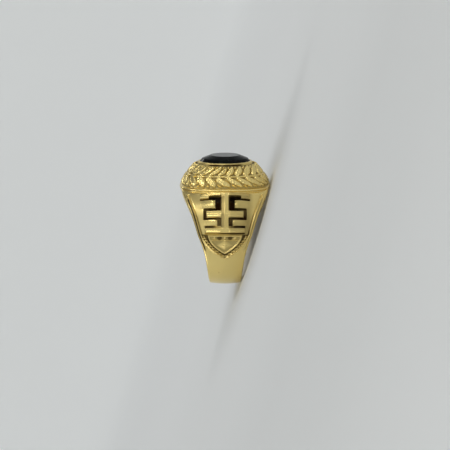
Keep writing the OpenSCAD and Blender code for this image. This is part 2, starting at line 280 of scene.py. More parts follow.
# In the furrow inside the rims, patina and painted shade in the crease: strength, place,
# half width, first angle, fade
FURROW_PATINA_SHADE, FURROW_SHADE_OFF, FURROW_SHADE_HALF, FURROW_SHADE_FROM, FURROW_SHADE_FADE = 0.8, 0.4, 0.18, 60, 3
# Painted shade in the seam outside them, a dark line along the sides, stronger towards -y:
# strength towards -y and +y, place, half width, fade, range
LEFT_SEAM_SHADE, RIGHT_SEAM_SHADE = 1.3, 0.55
SEAM_INSET, SEAM_HALF, SEAM_FADE, SEAM_A = 0.45, 0.19, 0.2, (44, 102, 1, 1.5)
# Painted shade in the finger hole: all over, then darker under the windows so that they
# look black, with its reach along and round
BORE_SHADE, WINDOW_SHADE, BORE_Y, BORE_A, BORE_FADE = 0.2, 0.95, 5.2, 104, 2
BORE_NEAR = 0.02  # points this close to the hole's radius lie on its wall
# On the frieze's ground, patina and painted shade between the leaves: strength, growth
# towards the lip, share of a leaf's height at which it ends, levels against its foot and
# its top, reach inside it
GROUND_PATINA_SHADE, GROUND_RISE, GROUND_FULL = 0.6, 0.3, 0.7
GROUND_LOW, GROUND_HIGH, GROUND_IN = 0.2, 0.07, 0.4
# Painted shade on the lip: strength, growth in the middle; a painted shadow line at its
# foot with its half width; reach along the finger and inwards, levels of both above the frieze
LIP_SHADE, LIP_RISE, LIP_LINE, LIP_LINE_HALF = 0.15, 0.35, 0.7, 0.2
LIP_Y, LIP_IN, LIP_Z, LIP_LINE_Z = 3.6, 0.62, 0.05, 0.1

# How far the floor and wall glow, so that they look evenly lit to the horizon: metres
# behind the ring, strength
GLOW_ROWS = [
    [-1.0, 0.12],
    [-0.3, 0.05],
    [-0.2, 0.01],
    [-0.14, 0.012],
    [-0.08, 0.045],
    [0.1, 0.095],
    [0.4, 0.13],
    [0.62, 0.165],
    [0.78, 0.135],
]
GLOW_TINT = (1, 1.01, 1.01)
GLOW_NEAR, GLOW_FAR = 0.01, 0.04  # no glow up to here from the ring, all of it from there

# Floor: radius of its hole, radius of its bend, rings up to the bend, steps of the bend,
# degrees between its points
FLOOR_HOLE, FLOOR_BEND, FLOOR_RINGS, BEND_STEPS, FLOOR_TURN = 0.002, 0.2, 12, 16, 3.75

# Lights: name, place, size, watts, colour
LIGHT_ROWS = [
    ["key", (0.35, -0.42, 0.90), 0.36, 2.1, (1.0, 0.985, 0.96)],
    ["front", (-0.07, -0.58, 0.40), 0.4, 0.15, (1.0, 0.99, 0.97)],
    ["side", (0.43, -0.46, 0.29), 0.2, 0.36, (1.0, 0.99, 0.97)],
    ["spark", (0.62, 0.01, 0.25), 0.06, 0.05, (1.0, 0.98, 0.94)],
    ["glint", (0.64, -0.11, 0.31), 0.08, 0.14, (1.0, 0.98, 0.96)],
    ["back", (0.12, 0.58, 0.62), 0.2, 0.4, (0.98, 0.99, 1.0)],
    ["low", (-0.55, -0.22, 0.20), 0.3, 0.46, (1.0, 0.99, 0.98)],
]
LIGHTS_AIM = (0, 0, 0.006)
SURROUND, SURROUND_STRENGTH = (0.92, 0.95, 1.0), 0.25
CAMERA_LIFT = 1.09  # from the middle of the finger hole up to the middle of the picture
CAMERA_NEAR, CAMERA_FAR = 0.005, 5

LEAST_FACES = 100  # a cut or join that leaves fewer has failed
MIX_A, MIX_B, MIX_RESULT = 6, 7, 2  # sockets of a Mix node that hold colours


class RingSizes(bpy.types.PropertyGroup):
    """Sizes of the gold casting."""

    shank_thickness: bpy.props.FloatProperty(
        name="Shank thickness", description="Metal at the back of the finger",
        default=1.7 * MM, unit="LENGTH", precision=5)
    shank_width: bpy.props.FloatProperty(
        name="Shank width", description="Width of the shank at the back of the finger",
        default=6.5 * MM, unit="LENGTH", precision=5)
    head_length: bpy.props.FloatProperty(
        name="Head length", description="Length of the head along the finger",
        default=18.9 * MM, unit="LENGTH", precision=5)
    head_width: bpy.props.FloatProperty(
        name="Head width", description="Width of the head across the finger",
        default=15.9 * MM, unit="LENGTH", precision=5)
    lip_height: bpy.props.FloatProperty(
        name="Lip height", description="Top of the bezel lip above the middle of the finger hole",
        default=14.85 * MM, unit="LENGTH", precision=5)
    lip_thickness: bpy.props.FloatProperty(
        name="Lip thickness", description="Metal of the bezel lip round the stone",
        default=0.5 * MM, unit="LENGTH", precision=5)
    leaf_count: bpy.props.IntProperty(
        name="Leaf pairs", description="Number of leaf pairs in the frieze",
        default=24, min=16, max=26)
    leaf_height: bpy.props.FloatProperty(
        name="Leaf height", description="Height of a leaf above the ground of the frieze",
        default=0.42 * MM, unit="LENGTH", precision=5)
    groove_depth: bpy.props.FloatProperty(
        name="Groove depth", description="Depth of the grooves in the shoulder panels",
        default=0.5 * MM, unit="LENGTH", precision=5)
    field_depth: bpy.props.FloatProperty(
        name="Field depth", description="Depth of the ground round the shield",
        default=0.3 * MM, unit="LENGTH", precision=5)
    ridge_height: bpy.props.FloatProperty(
        name="Ridge height", description="Height of the ridge along the cross",
        default=0.22 * MM, unit="LENGTH", precision=5)
    rim_height: bpy.props.FloatProperty(
        name="Rim height", description="Height of the rims along the shoulders",
        default=0.18 * MM, unit="LENGTH", precision=5)


class StoneSizes(bpy.types.PropertyGroup):
    """Sizes of the stone."""

    length: bpy.props.FloatProperty(
        name="Length", description="Length of the stone along the finger",
        default=10.5 * MM, unit="LENGTH", precision=5)
    width: bpy.props.FloatProperty(
        name="Width", description="Width of the stone across the finger",
        default=8.5 * MM, unit="LENGTH", precision=5)
    table_length: bpy.props.FloatProperty(
        name="Table length", description="Length of the flat table",
        default=6.1 * MM, unit="LENGTH", precision=5)
    table_width: bpy.props.FloatProperty(
        name="Table width", description="Width of the flat table",
        default=5.7 * MM, unit="LENGTH", precision=5)
    crown_height: bpy.props.FloatProperty(
        name="Crown height", description="Height of the table above the bezel lip",
        default=1.2 * MM, unit="LENGTH", precision=5)
    girdle_height: bpy.props.FloatProperty(
        name="Girdle height", description="Height of the stone's straight edge",
        default=0.5 * MM, unit="LENGTH", precision=5)


class Colours(bpy.types.PropertyGroup):
    """Colours of the metal, the stone and the studio."""

    gold: bpy.props.FloatVectorProperty(
        name="Gold", description="Colour of the bare metal", subtype="COLOR",
        default=(0.87, 0.7, 0.28), min=0, max=1)
    # Dark colour for patina in the hollows and for painted shade
    patina_and_shade_colour: bpy.props.FloatVectorProperty(
        name="Patina", description="Colour of the dark film in the recesses", subtype="COLOR",
        default=(0.034, 0.013, 0.004), min=0, max=1)
    onyx: bpy.props.FloatVectorProperty(
        name="Onyx", description="Colour of the stone", subtype="COLOR",
        default=(0.0025, 0.003, 0.0032), min=0, max=1)
    floor: bpy.props.FloatVectorProperty(
        name="Floor", description="Colour of the floor and the wall behind", subtype="COLOR",
        default=(0.78, 0.795, 0.785), min=0, max=1)


class StudioSizes(bpy.types.PropertyGroup):
    """The camera and the floor."""

    camera_distance: bpy.props.FloatProperty(
        name="Camera distance", description="From the middle of the finger hole to the camera",
        default=0.45, unit="LENGTH")
    camera_lens: bpy.props.FloatProperty(
        name="Lens", description="Focal length of the camera", default=171.3, unit="CAMERA")
    camera_rise: bpy.props.FloatProperty(
        name="Camera rise", description="How far above the shoulder's middle the camera looks from",
        default=math.radians(10.5), subtype="ANGLE")
    floor_radius: bpy.props.FloatProperty(
        name="Floor radius", description="Where the floor starts to turn up into the wall",
        default=0.6, unit="LENGTH")
    wall_height: bpy.props.FloatProperty(
        name="Wall height", description="Height of the curved wall", default=0.5, unit="LENGTH")


# Numbers and curves

def folded(angles):
    """Angles from the stone, counted the same way down both shoulders."""
    return np.abs((np.asarray(angles, float) + 180) % 360 - 180)


def eased(column, angles, reach=8):
    """A column of the shoulder table, with its corners rounded over some half degrees."""
    fine = np.linspace(0, 180, 361)
    values = np.interp(fine, SHOULDER_ROWS[:, ANGLE], SHOULDER_ROWS[:, column])
    padded = np.concatenate([values[reach:0:-1], values, values[-2:-reach - 2:-1]])
    weights = np.hanning(2 * reach + 3)[1:-1]
    rounded = np.convolve(padded, weights / weights.sum(), "valid")
    return np.interp(folded(angles), fine, rounded)


def step(distance, width=WALL):
    """0 outside an edge, 1 inside it, with a smooth wall of this width between."""
    share = np.clip(0.5 + distance / width, 0, 1)
    return share * share * (3 - 2 * share)


def between(place, low, high, rise, fall):
    """1 between two limits and 0 outside them, with fades of these widths."""
    return step(place - low, rise) * step(high - place, fall)


def span(a, first, last, rise, fall):
    """The same between two angles, with the fades in millimetres."""
    return between(a * DEGREE_MM, first * DEGREE_MM, last * DEGREE_MM, rise, fall)


def inside(a, y, a0, a1, y0, y1, corner=CORNER_R):
    """Millimetres inside a rectangle with round corners, negative outside it."""
    across = (np.abs(a - (a0 + a1) / 2) - (a1 - a0) / 2) * DEGREE_MM + corner
    along = np.abs(y - (y0 + y1) / 2) - (y1 - y0) / 2 + corner
    outer = np.hypot(np.maximum(across, 0), np.maximum(along, 0))
    return corner - outer - np.minimum(np.maximum(across, along), 0)


def bump(distance, half):
    """A round bead's height share across its middle line."""
    return np.sqrt(np.clip(1 - (distance / half) ** 2, 0, 1))


def crease(distance, half):
    """A soft crease's share across its middle line."""
    return np.exp(-(distance / half) ** 2)


def lines(keys, spacing):
    """The keys, with even steps no wider than the spacing between them."""
    keys = sorted(set(keys))
    made = [keys[0]]
    for low, high in zip(keys, keys[1:]):
        count = max(1, math.ceil((high - low) / spacing - 1e-6))
        made += list(np.linspace(low, high, count + 1)[1:])
    return np.array(made)


def wall_edges(column, half):
    """Both edges of the grooves' walls, for this column of their table and the next."""
    return [k + o for row in GROOVE_ROWS for k in row[column:column + 2] for o in (-half, half) if k > 0]


def slope_cosine(rows, a):
    """How much a slanted outline shortens distances taken straight along the finger."""
    rise = np.interp(a + 0.5, *rows.T) - np.interp(a - 0.5, *rows.T)
    return 1 / np.hypot(1, rise / DEGREE_MM)


def oval_ring(turns, half, power, z):
    """Points of a rounded oval at these angles, all on one level."""
    c, s = np.cos(np.radians(turns)), np.sin(np.radians(turns))
    x = half[0] * np.sign(c) * np.abs(c) ** (2 / power)
    y = half[1] * np.sign(s) * np.abs(s) ** (2 / power)
    return np.column_stack([x, y, np.full(len(turns), z)])


def arc(start, corner, end, steps):
    """Points of a short arc in place of a corner."""
    shares = np.linspace(0, 1, steps + 1)
    return [(1 - k) ** 2 * start + 2 * k * (1 - k) * corner + k ** 2 * end for k in shares]


def round_corners(outline, radius):
    """A closed outline with each corner replaced by a short arc."""
    made = []
    for back, here, ahead in zip(np.roll(outline, 1, 0), outline, np.roll(outline, -1, 0)):
        to_back, to_ahead = back - here, ahead - here
        back_mm, ahead_mm = np.linalg.norm(to_back), np.linalg.norm(to_ahead)
        reach = min(radius, 0.45 * back_mm, 0.45 * ahead_mm)
        made += arc(here + to_back / back_mm * reach, here, here + to_ahead / ahead_mm * reach, 4)
    return np.array(made)


def soften(rows, radius):
    """A profile with each inner corner replaced by a short arc."""
    made = [rows[0]]
    for back, here, ahead in zip(rows, rows[1:], rows[2:]):
        to_back, to_ahead = back - here, ahead - here
        start = here + to_back * min(0.4, radius / np.linalg.norm(to_back))
        end = here + to_ahead * min(0.4, radius / np.linalg.norm(to_ahead))
        made += arc(start, here, end, 3)
    return [*made, rows[-1]]


# Meshes

def add_object(name, data):
    """A new object of the scene with this mesh, light or camera."""
    added = bpy.data.objects.new(name, data)
    bpy.context.scene.collection.objects.link(added)
    return added


def grid_faces(rows, columns, ring=False):
    """Quads of a grid whose columns close on themselves, and its rows too for a ring."""
    spans = rows if ring else rows - 1
    i, j = np.meshgrid(np.arange(spans), np.arange(columns), indexing="ij")
    u, v = (i + 1) % rows, (j + 1) % columns
    corners = [i * columns + j, u * columns + j, u * columns + v, i * columns + v]
    return np.stack(corners, -1).reshape(-1, 4)


def solid(name, rings, ring=False):
    """A closed mesh object through rings of points, capped at both ends unless it is a ring.

    Its faces are turned to look outwards, whichever way the rings go round.
    """
    rings = np.asarray(rings, float)
    rows, columns = rings.shape[:2]
    faces = grid_faces(rows, columns, ring).tolist()
    if not ring:
        faces.append(list(range(columns)))
        faces.append(list(range(rows * columns - 1, (rows - 1) * columns - 1, -1)))
    mesh = bpy.data.meshes.new(name)
    mesh.from_pydata(rings.reshape(-1, 3).tolist(), [], faces)
    mesh.validate()
    shape = bmesh.new()
    shape.from_mesh(mesh)
    if shape.calc_volume(signed=True) < 0:
        mesh.flip_normals()
    shape.free()
    return add_object(name, mesh)


def carve(piece, other, operation):
    """Joins or cuts the piece with another solid, which is used up."""
    change = piece.modifiers.new("carve", "BOOLEAN")
    change.operation, change.solver, change.object = operation, "MANIFOLD", other
    bpy.context.view_layer.update()
    evaluated = piece.evaluated_get(bpy.context.evaluated_depsgraph_get())
    result = bpy.data.meshes.new_from_object(evaluated)
    if len(result.polygons) < LEAST_FACES:
        raise RuntimeError(f"{piece.name}: {operation} left no solid")
    piece.modifiers.clear()
    spent, piece.data = piece.data, result
    bpy.data.meshes.remove(spent)
    bpy.data.objects.remove(other)


def keep_field(piece, name, measure):
    """Stores one number a point for the materials, measured from all points at once."""
    points = np.empty(len(piece.data.vertices) * 3)
    piece.data.vertices.foreach_get("co", points)
    layer = piece.data.attributes.new(name, "FLOAT", "POINT")
    layer.data.foreach_set("value", np.asarray(measure(points.reshape(-1, 3)), np.float32))


def ring_axes():
    """Where the ring's x, y and z axes point when it lies on its side."""
    along = Vector(FINGER_HOLE["axis"])
    return Vector((0, -1, 0)), along, Vector((-along.z, 0, along.x))


def lying():
    """From millimetres on the upright ring to metres on the ring as it lies."""
    turn = Matrix(ring_axes()).transposed().to_4x4()
    return Matrix.Translation(Vector(FINGER_HOLE["pos_m"])) @ turn @ Matrix.Scale(MM, 4)


def settle(piece, material, sharp, *nodes, slot):
    """Lays a finished piece in the frame, shades it and ties it to the model."""
    piece.data.transform(lying())
    piece.data.shade_smooth()
    piece.data.set_sharp_from_angle(angle=math.radians(sharp))
    piece.data.materials.clear()
    piece.data.materials.append(material)
    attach(piece, "root")
    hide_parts(*nodes)


# The casting

class Casting:
    """The sizes of the casting in millimetres, and the shapes that follow from them."""

    def __init__(self, sizes, stone):
        self.bore_r = FINGER_HOLE["dims"]["r_mm"]
        self.back_r = self.bore_r + sizes.shank_thickness / MM
        self.shank_w = sizes.shank_width / MM
        self.head = np.array([sizes.head_width, sizes.head_length]) / MM / 2
        self.lip_z = sizes.lip_height / MM
        self.lip_t = sizes.lip_thickness / MM
        self.leaves = sizes.leaf_count
        self.leaf_h = sizes.leaf_height / MM
        self.groove = sizes.groove_depth / MM
        self.field = sizes.field_depth / MM
        self.ridge = sizes.ridge_height / MM
        self.rim = sizes.rim_height / MM
        self.stone = np.array([stone.width, stone.length]) / MM / 2
        self.girdle_top = self.lip_z - SEAT_GAP
        self.girdle_low = self.girdle_top - stone.girdle_height / MM
        self.frieze_top = self.lip_z - LIP_H
        self.frieze_foot = self.head - FRIEZE_INSET
        self.lip_foot = self.stone + self.lip_t + LIP_FOOT_OUT

    def half_width(self, a):
        """Half the ring's width at these angles."""
        return self.shank_w / 2 + eased(WIDENING, a) * (2 * self.head[1] - self.shank_w) / 2

    def face_r(self, a, y):
        """Radius of the plain outer face."""
        return self.back_r + eased(ADDED, a) - eased(FALL, a) * (y / self.half_width(a)) ** 2

    def rim_line(self, a):
        """Middle of the rim: along the edge, then down the pointed arch."""
        edge = self.half_width(a) - RIM_INSET
        arch = np.minimum(edge, np.interp(a, *ARCH_ROWS.T))
        return np.where(a < ARCH_FROM, edge, arch) - RIM_W / 2

    def panel(self, a, y):
        """Height of the relief on a shoulder's panel."""
        y, turn = np.abs(y), ARM_HALF / DEGREE_MM
        post = step(inside(a, y, *POST_A, -POST_HALF, POST_HALF), RIDGE_WALL)
        arm = step(inside(a, y, ARM_A - turn, ARM_A + turn, -ARM_REACH, ARM_REACH), RIDGE_WALL)
        post, arm = post * (1 - y / POST_HALF), arm * (1 - np.abs(a - ARM_A) / turn)
        height = self.ridge * np.maximum(post, arm)
        for start, end, near, far, lift in STUB_ROWS:
            middle, half = (start + end) / 2, (end - start) / 2 * DEGREE_MM
            off = np.hypot((a - middle) * DEGREE_MM, np.maximum(near + half - y, 0))
            height = height + lift * bump(off, half) * np.clip((far - y) / (far - near), 0, 1)
        for start, end, far, lift in BAR_ROWS:
            height = np.maximum(height, lift * step(inside(a, y, start, end, -far, far), 0.2))
        for middle, far, half, lift in BEAD_ROWS:
            bead = bump((a - middle) * DEGREE_MM, half) * between(y, POST_HALF, far, 0.3, 0.3)
            height = height + lift * bead
        cut = step(np.max([inside(a, y, *row) for row in GROOVE_ROWS], axis=0))
        worn = sum(share * span(a, start, end, 0.2, 0.2) * step(far - y, 1.4)
                   for start, end, far, share in WORN_ROWS)
        return height - self.groove * (1 - worn) * cut

    def arch(self, a, y):
        """Height of the relief inside the pointed arch."""
        s, y = a * DEGREE_MM, np.abs(y)
        slant = slope_cosine(ARCH_ROWS, a)
        rim_in = self.rim_line(a) - RIM_W / 2
        ground = step(np.minimum((a - FIELD_FROM) * DEGREE_MM, (rim_in - y) * slant))
        edge = (np.interp(a, *SHIELD_ROWS.T) - y) * slope_cosine(SHIELD_ROWS, a)
        shield = np.minimum(edge, (a - SHIELD_TOP) * DEGREE_MM)
        height = -self.field * ground + (self.field + BORDER_H) * step(shield, 0.14)
        height = height - BORDER_FALL * step(shield - BORDER_W, 0.12)
        band = inside(a, y, *BAND_A, -BAND_HALF, BAND_HALF, BAND_R)
        height = height + BAND_H * step(np.minimum(band, shield - BAND_INSET), 0.1)
        pit = np.hypot((s - PIT_A * DEGREE_MM) / PIT_S, (y - PIT_Y) / PIT_HALF)
        height = height - PIT_DEPTH * step(1 - pit, 0.6)
        for middle in STUD_YS:
            stud = bump(np.hypot(s - STUD_A * DEGREE_MM, y - middle), STUD_R)
            height = height + STUD_H * stud * ground
        lozenge = 1 - np.abs(s - LOZENGE_A * DEGREE_MM) / LOZENGE_S - y / LOZENGE_Y
        height = height + LOZENGE_H * np.clip(lozenge, 0, 1) + LOZENGE_FOOT * step(lozenge, 0.15)
        rope = np.abs(y - (rim_in - ROPE_INSET)) * slant
        beads = bump(np.hypot(rope, ROPE_SWING * np.cos(s * math.pi / ROPE_GAP)), ROPE_R)
        return height + ROPE_H * beads * span(a, *ROPE_A)

    def relief(self, a, y):
        """Height of all relief on a shoulder, at these angles and distances along the finger."""
        a = folded(a)
        panel = self.panel(a, y) * (a > PANEL_FROM) * (a < ARCH_FROM)
        arch = self.arch(a, y) * (a > FIELD_FROM) * (a < ARCH_TO)
        off = np.abs(y) - self.rim_line(a)
        off = off * np.where(a > ARCH_FROM, slope_cosine(ARCH_ROWS, a), 1)
        furrow = FURROW_DEPTH * crease(off + FURROW_OFF, FURROW_HALF) * (a < FURROW_TO)
        rim = self.rim * bump(off, RIM_W / 2) - furrow
        return panel + arch + rim * span(a, *RIM_A)

    def columns(self, a):
        """Distances along the finger of the outer face's points at one angle."""
        w = float(self.half_width(a)) - EDGE_R
        keys = [0, PANEL_Y, *wall_edges(2, WALL / 2)]
        fixed = lines([round(k, 4) for k in keys], CLOSE)
        reach = min(PANEL_Y, w - RIM_ROOM)
        held = max(reach, SQUEEZED_Y)
        placed = np.interp(fixed, [0, STRAIGHT_Y, PANEL_Y], [0, STRAIGHT_Y, held]) * (reach / held)
        gap = np.linspace(reach, w - RIM_STRIP, 9)[1:-1]
        return np.concatenate([placed, gap, np.linspace(w - RIM_STRIP, w, 11)])

    def stations(self):
        """Angles of the sections, close together where the relief is."""
        keys = [FIELD_FROM, SHIELD_TOP, *wall_edges(0, WALL / 2 / DEGREE_MM)]
        keys += [k for row in SECTION_ROWS for k in row[:2]]
        keys = sorted(round(k, 3) for k in keys)
        parts = [lines([k for k in keys if first <= k <= last], gap)
                 for first, last, gap in SECTION_ROWS]
        half = np.unique(np.concatenate(parts).round(3))
        return np.concatenate([half, 360 - half[-2:0:-1]])

    def section(self, a):
        """The closed outline of the shank at one angle, as points of the upright ring."""
        w = float(self.half_width(a))
        y = self.columns(a)
        r = self.face_r(a, y) + self.relief(a, y)
        side_r = float(self.face_r(a, w))
        turn = np.radians(np.linspace(90, 0, 7)[1:])
        corner_r = side_r - EDGE_R + (r[-1] - side_r + EDGE_R) * np.sin(turn)
        corner_y = w - EDGE_R + EDGE_R * np.cos(turn)
        bore_turn = np.radians(np.linspace(0, 80, 5))
        inner_r = self.bore_r + BORE_EDGE - BORE_EDGE * np.sin(bore_turn)
        inner_y = w - BORE_EDGE + BORE_EDGE * np.cos(bore_turn)
        r = np.concatenate([r, corner_r, inner_r, [self.bore_r - BURY]])
        y = np.concatenate([y, corner_y, inner_y, [w - BORE_EDGE - BURY_INSET]])
        r = np.concatenate([r, r[:0:-1]])
        y = np.concatenate([y, -y[:0:-1]])
        angle = math.radians(a)
        if math.cos(angle) > 0:
            r = np.minimum(r, PLATFORM_Z / math.cos(angle))
        return np.stack([r * math.sin(angle), y, r * math.cos(angle)], -1)

    def rise(self, z):
        """Share of the way up the frieze at a level."""
        return np.clip((z - FRIEZE_Z) / (self.frieze_top - FRIEZE_Z), 0, 1)

    def power(self, z):
        """How square the head's outline is at a level."""
        return GIRDLE_POWER + (LIP_POWER - GIRDLE_POWER) * self.rise(z)

    def frieze_half(self, z):
        """Half width and half length of the frieze's ground at a level."""
        share = 1 - self.rise(z) ** DOME_POWER
        return self.lip_foot + (self.frieze_foot - self.lip_foot) * share

    def frieze_ring(self, turns, z):
        """Points of the frieze's ground at these angles and a level."""
        return oval_ring(turns, self.frieze_half(z), self.power(z), z)

    def frieze_normals(self, turns, z):
        """Outward directions of the frieze's ground."""
        across = self.frieze_ring(turns + 0.5, z) - self.frieze_ring(turns - 0.5, z)
        upward = self.frieze_ring(turns, z + 0.05) - self.frieze_ring(turns, z - 0.05)
        normal = np.cross(across, upward)
        return normal / np.linalg.norm(normal, axis=1)[:, None]

    def walk(self):
        """Even steps round the frieze, half way up it: their run and angle, and the full run."""
        turns = np.linspace(0, 360, 1441)
        points = self.frieze_ring(turns, (FRIEZE_Z + self.frieze_top) / 2)[:, :2]
        run = np.concatenate([[0], np.cumsum(np.hypot(*np.diff(points, axis=0).T))])
        steps = np.linspace(0, run[-1], HEAD_POINTS + 1)[:-1]
        return steps, np.interp(steps, run, turns), run[-1]

    def foliage(self, run, around, rise):
        """Height of the leaves and berries at a run along the frieze and a share up it."""
        pitch = around / self.leaves
        out = abs(2 * rise - 1)
        place = (run - LEAF_LEAN * out) / pitch
        square = FRIEZE_MM / 2 / math.hypot(FRIEZE_MM / 2, LEAF_LEAN)
        off = np.abs((np.mod(place + 0.25, 1) - 0.5) * pitch * square)
        blade = min(1, max(0, (out - LEAF_FROM) / LEAF_SPAN))
        half = LEAF_HALF * math.sin(math.pi * blade ** LEAF_WIDEST) ** LEAF_ROUND
        half = max(half, LEAF_LEAST)
        body = half - off
        dome = 1 - LEAF_DOME * np.clip(off / half, 0, 1) ** 2
        fold = FOLD_DEPTH * crease(off, FOLD_HALF)
        veins = 1 + np.cos(2 * np.pi * (out * VEIN_COUNT - off / VEIN_SLANT))
        veins = VEIN_DEPTH * veins * (off > VEIN_FROM) * step(body - VEIN_EDGE, VEIN_WALL)
        leaf = self.leaf_h * step(body - LEAF_EDGE, LEAF_WALL) * (dome - fold - veins)
        stem = STEM_H * self.leaf_h * bump((rise - 0.5) * FRIEZE_MM, STEM_HALF)
        side = (np.mod(place - BERRY_PLACE + 0.5, 1) - 0.5) * pitch
        berry = bump(np.hypot(side, (out - BERRY_OUT) * FRIEZE_MM / 2), BERRY_R)
        return np.maximum(np.maximum(leaf, stem), (BERRY_R + BERRY_LIFT) * berry)

    def head_solid(self):
        """The border, the frieze and the lip as one solid that ends over the stone's seat."""
        run, turns, around = self.walk()
        rings = [oval_ring(turns, self.head - [inset_x, inset_y], GIRDLE_POWER, z)
                 for z, inset_x, inset_y in BORDER_ROWS]
        for z in FRIEZE_Z + (self.frieze_top - FRIEZE_Z) * np.linspace(0, 1, FRIEZE_RINGS):
            lift = self.foliage(run, around, float(self.rise(z)))
            rings.append(self.frieze_ring(turns, z) + lift[:, None] * self.frieze_normals(turns, z))
        for drop, out_x, out_y in LIP_ROWS:
            half = self.stone + self.lip_t + [out_x, out_y]
            rings.append(oval_ring(turns, half, LIP_POWER, self.lip_z - drop))
        return solid("head", rings)

    def shank_solid(self):
        """The shank and both shoulders with their relief, the finger hole still tight."""
        return solid("shank", [self.section(a) for a in self.stations()], ring=True)

    def window_solid(self, side, hand):
        """The cutter of one pierced window."""
        near = POST_HALF + WINDOW_GAP
        radius = float(self.back_r + eased(ADDED, WINDOW_A))
        outline = [[WINDOW_ROWS[0][0], near], *WINDOW_ROWS, [WINDOW_ROWS[-1][0], near]]
        flat = [[radius * math.sin(math.radians(a - WINDOW_A)), y] for a, y in outline]
        x, y = round_corners(np.array(flat), WINDOW_CORNER_R).T
        c, s = math.cos(math.radians(WINDOW_A)), math.sin(math.radians(WINDOW_A))
        rings = [np.column_stack([side * (x * c + r * s), hand * y, r * c - x * s])
                 for r in (self.bore_r - 2 * BURY, self.bore_r + WINDOW_REACH)]
        return solid("window", rings)

    def seat_solid(self):
        """The cutter of the open back and the stone's seat."""
        rings = [oval_ring(STONE_TURNS, (width / 2, length / 2), CAVITY_POWER, z)
                 for width, length, z in CAVITY_ROWS]
        width, length, z = PAVILION_ROWS[1]
        foot = (width / 2 + SEAT_GAP, length / 2 + SEAT_GAP)
        rings.append(oval_ring(STONE_TURNS, foot, 2, self.girdle_low + z - SEAT_GAP))
        for z in (self.girdle_low - SEAT_GAP, self.lip_z + 0.5):
            rings.append(oval_ring(STONE_TURNS, self.stone + SEAT_GAP, 2, z))
        return solid("seat", rings)

    def bore_solid(self):
        """The cutter of the finger hole, longer than the ring is wide."""
        t = np.radians(np.arange(0, 360, 2.0))
        reach = self.head[1] + 1
        x, z = self.bore_r * np.sin(t), self.bore_r * np.cos(t)
        rings = [np.column_stack([x, np.full(len(t), y), z]) for y in np.linspace(-reach, reach, 22)]
        return solid("bore", rings)

    def shoulder_darkening(self, a, y, depth):
        """Darkening in the relief of a shoulder, at points this deep under the plain face: patina in the
        hollows and painted shade.
        """
        # Painted shade in the line under the low bar: twice the grooves' darkening towards +y, half
        # towards -y
        line = step((a - LINE_FROM) * DEGREE_MM, 0.4) * (1 - LINE_LOSS * step(LINE_LOSS_Y - y, 1.5))
        panel = np.clip(PANEL_PATINA_SHADE + (1 + line) * depth / (GROOVE_FULL * self.groove), 0, 1)
        # Bands of painted shade: on the panel's +y half and on the post's -y slope
        for strength, along, down in SHADE_BANDS:
            panel = panel + strength * between(y, *along) * span(a, *down)
        off = np.abs(y) - self.rim_line(a)
        arch = (ARCH_PATINA_SHADE + depth / (ARCH_FULL * self.field)) * step(RIM_W / 2 - off, ARCH_FADE)
        from_seam = self.half_width(a) - SEAM_INSET - np.abs(y)
        darkening = np.clip(np.where(a < ARCH_FROM, panel, arch), 0, 1)
        darkening = darkening * step(from_seam, SEAM_FADE) * span(a, *SHOULDER_DARKENING_A)
        furrow = FURROW_PATINA_SHADE * crease(off + FURROW_SHADE_OFF, FURROW_SHADE_HALF) * (a < FURROW_TO)
        furrow = furrow * step((a - FURROW_SHADE_FROM) * DEGREE_MM, FURROW_SHADE_FADE)
        # Painted shade along the seam outside the rims, stronger towards -y
        seam = np.where(y < 0, LEFT_SEAM_SHADE, RIGHT_SEAM_SHADE) * crease(from_seam, SEAM_HALF)
        return np.maximum(darkening, np.maximum(furrow, seam * span(a, *SEAM_A))) * (a > SHOULDER_FROM)

    def head_darkening(self, x, y, z):
        """Darkening on the ground of the frieze, patina and painted shade, and painted shade on the lip
        with a painted shadow line at its foot.
        """
        levels = np.linspace(8, 16, 161)
        halves = np.array([self.frieze_half(level) for level in levels])
        half_x, half_y = (np.interp(z, levels, column) for column in halves.T)
        power = self.power(z)
        share = ((np.abs(x) / half_x) ** power + (np.abs(y) / half_y) ** power) ** (1 / power)
        out = (share - 1) * np.hypot(x, y) / np.maximum(share, 0.1)
        above = z - self.frieze_top
        # Patina and painted shade on the ground between the leaves, growing towards the lip
        ground = GROUND_PATINA_SHADE + GROUND_RISE * self.rise(z)
        ground = ground * np.clip(1 - out / (GROUND_FULL * self.leaf_h), 0, 1)
        ground = ground * step(z - FRIEZE_Z + GROUND_LOW, 0.1) * step(GROUND_HIGH - above, 0.1)
        # Painted shade on the lip, darker in the middle, and a painted shadow line at its foot
        lip = (LIP_SHADE + LIP_RISE * step(LIP_Y - np.abs(y), 2)) * step(above - LIP_Z, 0.2)
        line = LIP_LINE * bump(above - LIP_LINE_Z, LIP_LINE_HALF) * step(LIP_Y - np.abs(y), 1.2)
        return np.maximum(ground * step(out + GROUND_IN, 0.1), lip * step(out + LIP_IN, 0.1) + line)

    def darkening(self, points):
        """How dark the gold is painted at each point, from 0 on bare gold to 1: patina and painted
        shade.
        """
        x, y, z = points.T
        r = np.hypot(x, z)
        a = np.abs(np.degrees(np.arctan2(x, z)))
        shoulder = self.shoulder_darkening(a, y, self.face_r(a, y) - r)
        # Painted shade inside the finger hole, darkest under the windows
        dark = step(BORE_Y - np.abs(y), BORE_FADE) * step((BORE_A - a) * DEGREE_MM, BORE_FADE)
        ring = np.where(r < self.bore_r + BORE_NEAR, BORE_SHADE + WINDOW_SHADE * dark, shoulder)
        return np.maximum(ring, self.head_darkening(x, y, z))


# Materials

def maths(operation, swapped=False):
    """A Math node in place of one of Python's operators."""
    def made(self, other):
        first, second = (other, self) if swapped else (self, other)
        return self.finish.node("ShaderNodeMath", {"operation": operation}, {0: first, 1: second})[0]
    return made


